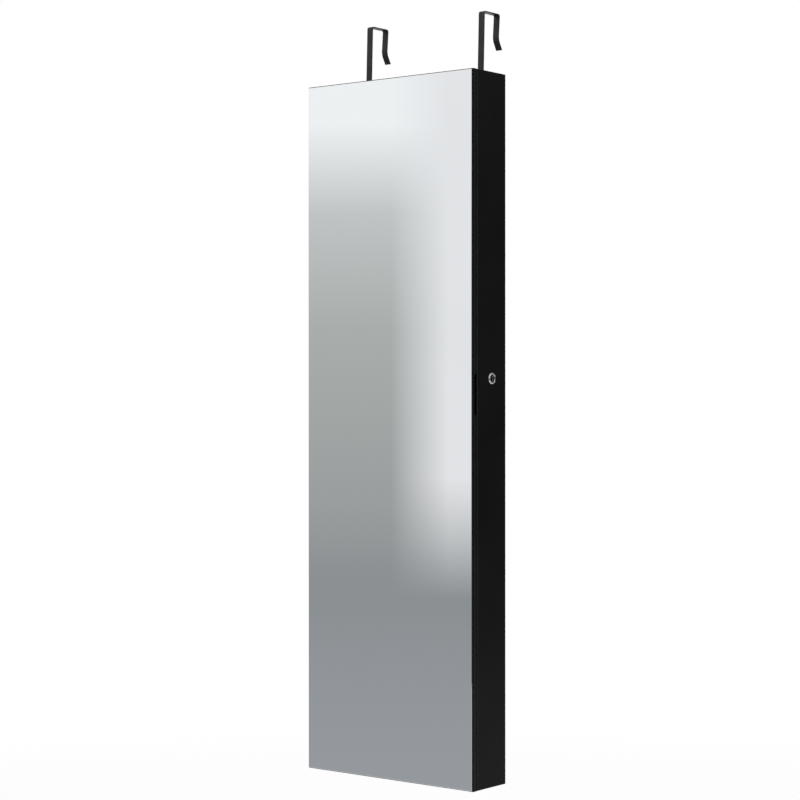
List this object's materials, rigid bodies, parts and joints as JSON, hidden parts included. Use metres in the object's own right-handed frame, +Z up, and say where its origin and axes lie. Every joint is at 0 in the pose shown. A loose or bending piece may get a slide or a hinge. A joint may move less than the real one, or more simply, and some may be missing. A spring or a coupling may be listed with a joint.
{
  "type": "jewelry mirror cabinet",
  "caption": "Tall slim jewelry cabinet with a full-length mirror door, cam lock and steel hooks that hang it over a room's door.",
  "frame": {"origin": "midway between the two wall screw holes, on the cabinet's rear face", "axes": "+X to the right as seen from the front, +Y to the rear (out of the rear face, towards the wall), +Z up"},
  "size_m": [0.3678, 0.1512, 1.3143],
  "materials": {
    "black_board": "satin black foil on fibreboard",
    "back_board": "black printed hardboard",
    "velvet": "black velvet",
    "clear_acrylic": "clear polished acrylic",
    "mirror": "silvered mirror",
    "black_steel": "satin black powder coat",
    "chrome": "polished chrome plate",
    "zinc_steel": "zinc-plated steel",
    "black_plastic": "moulded black plastic",
    "magnet": "bare ferrite between steel pole plates",
    "rubber": "black rubber",
    "dowel_wood": "plain beech"
  },
  "bodies": {
    "cabinet": {"side_panel_left": "black_board", "side_panel_right": "black_board", "top_panel": "black_board", "bottom_panel": "black_board", "back_panel": "back_board", "back_lining": "velvet", "hanging_rail": "black_board", "carcass_dowels": "dowel_wood", "back_panel_screws": "zinc_steel", "shelf_lower": "black_board", "shelf_middle": "black_board", "shelf_upper": "black_board", "section_shelf": "black_board", "section_divider": "black_board", "lip_bin": "clear_acrylic", "lip_lower": "clear_acrylic", "lip_middle": "clear_acrylic", "lip_upper": "clear_acrylic", "ring_tray": "black_board", "ring_rolls": "velvet", "earring_posts": "black_board", "earring_panel": "clear_acrylic", "earring_panel_screws": "zinc_steel", "necklace_bar": "black_board", "necklace_hooks": "black_steel", "bracelet_rod": "black_board", "rod_sockets": "black_plastic", "door_hook_left": "black_steel", "door_hook_right": "black_steel", "door_hook_screws": "zinc_steel", "lock_barrel": "chrome", "lock_nut": "chrome", "catch_cases": "black_plastic", "catch_magnets": "magnet", "catch_screws": "zinc_steel", "rubber_buffers": "rubber", "hinge_screws_body": "zinc_steel", "hinge_1_body_leaf": "zinc_steel", "hinge_1_pin": "zinc_steel", "hinge_2_body_leaf": "zinc_steel", "hinge_2_pin": "zinc_steel", "hinge_3_body_leaf": "zinc_steel", "hinge_3_pin": "zinc_steel"},
    "door": {"door_panel": "black_board", "mirror_glass": "mirror", "strike_plate": "zinc_steel", "strike_screws": "zinc_steel", "catch_plates": "zinc_steel", "catch_plate_screws": "zinc_steel", "hinge_screws_door": "zinc_steel", "hinge_1_door_leaf": "zinc_steel", "hinge_2_door_leaf": "zinc_steel", "hinge_3_door_leaf": "zinc_steel"},
    "lock": {"lock_plug": "chrome", "lock_cam": "zinc_steel", "cam_screw": "zinc_steel"}
  },
  "joints": [
    {"name": "door_swing", "type": "hinge", "parent": "cabinet", "child": "door", "pos_m": [-0.1828, -0.082, -0.555], "axis": [0, 0, -1], "range_deg": [0, 120]},
    {"name": "lock_turn", "type": "hinge", "parent": "cabinet", "child": "lock", "pos_m": [0.18, -0.0405, -0.469], "axis": [-1, 0, 0], "range_deg": [0, 90]}
  ]
}
